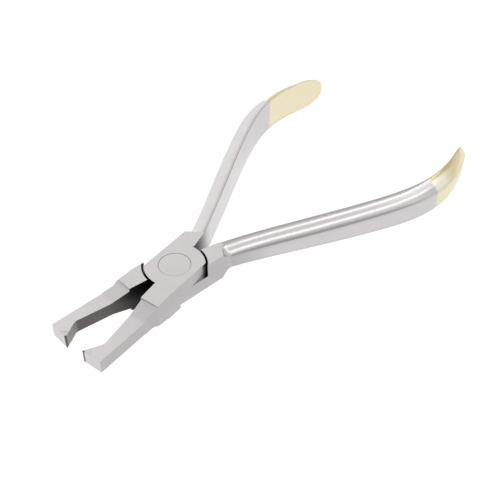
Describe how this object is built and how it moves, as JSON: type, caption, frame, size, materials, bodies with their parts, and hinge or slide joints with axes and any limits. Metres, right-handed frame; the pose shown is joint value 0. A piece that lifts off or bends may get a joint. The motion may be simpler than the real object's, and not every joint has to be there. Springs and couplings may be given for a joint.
{
  "type": "orthodontic pliers",
  "caption": "Lap-jointed orthodontic pliers with hooked narrow jaws, tip blades, a flush rivet and bowed handles with gold-coloured ends.",
  "frame": {"origin": "On the pivot axis, on the lower flat of the joint.", "axes": "+X runs from the pivot towards the handles, midway between them. +Z is the pivot axis, towards the rivet head. +Y is towards the handle of the upper half."},
  "size_m": [0.1418, 0.0742, 0.0122],
  "materials": {
    "steel": "satin",
    "rivet_steel": "satin",
    "carbide": "satin"
  },
  "bodies": {
    "lower": {"lower_half": "steel", "pivot_rivet": "rivet_steel", "lower_tip_blade": "carbide"},
    "upper": {"upper_half": "steel", "upper_tip_blade": "carbide"}
  },
  "joints": [
    {"name": "pivot", "type": "hinge", "parent": "lower", "child": "upper", "pos_m": [0, 0, 0.0043], "axis": [0, 0, 1], "range_deg": [-10.3, 28]}
  ]
}
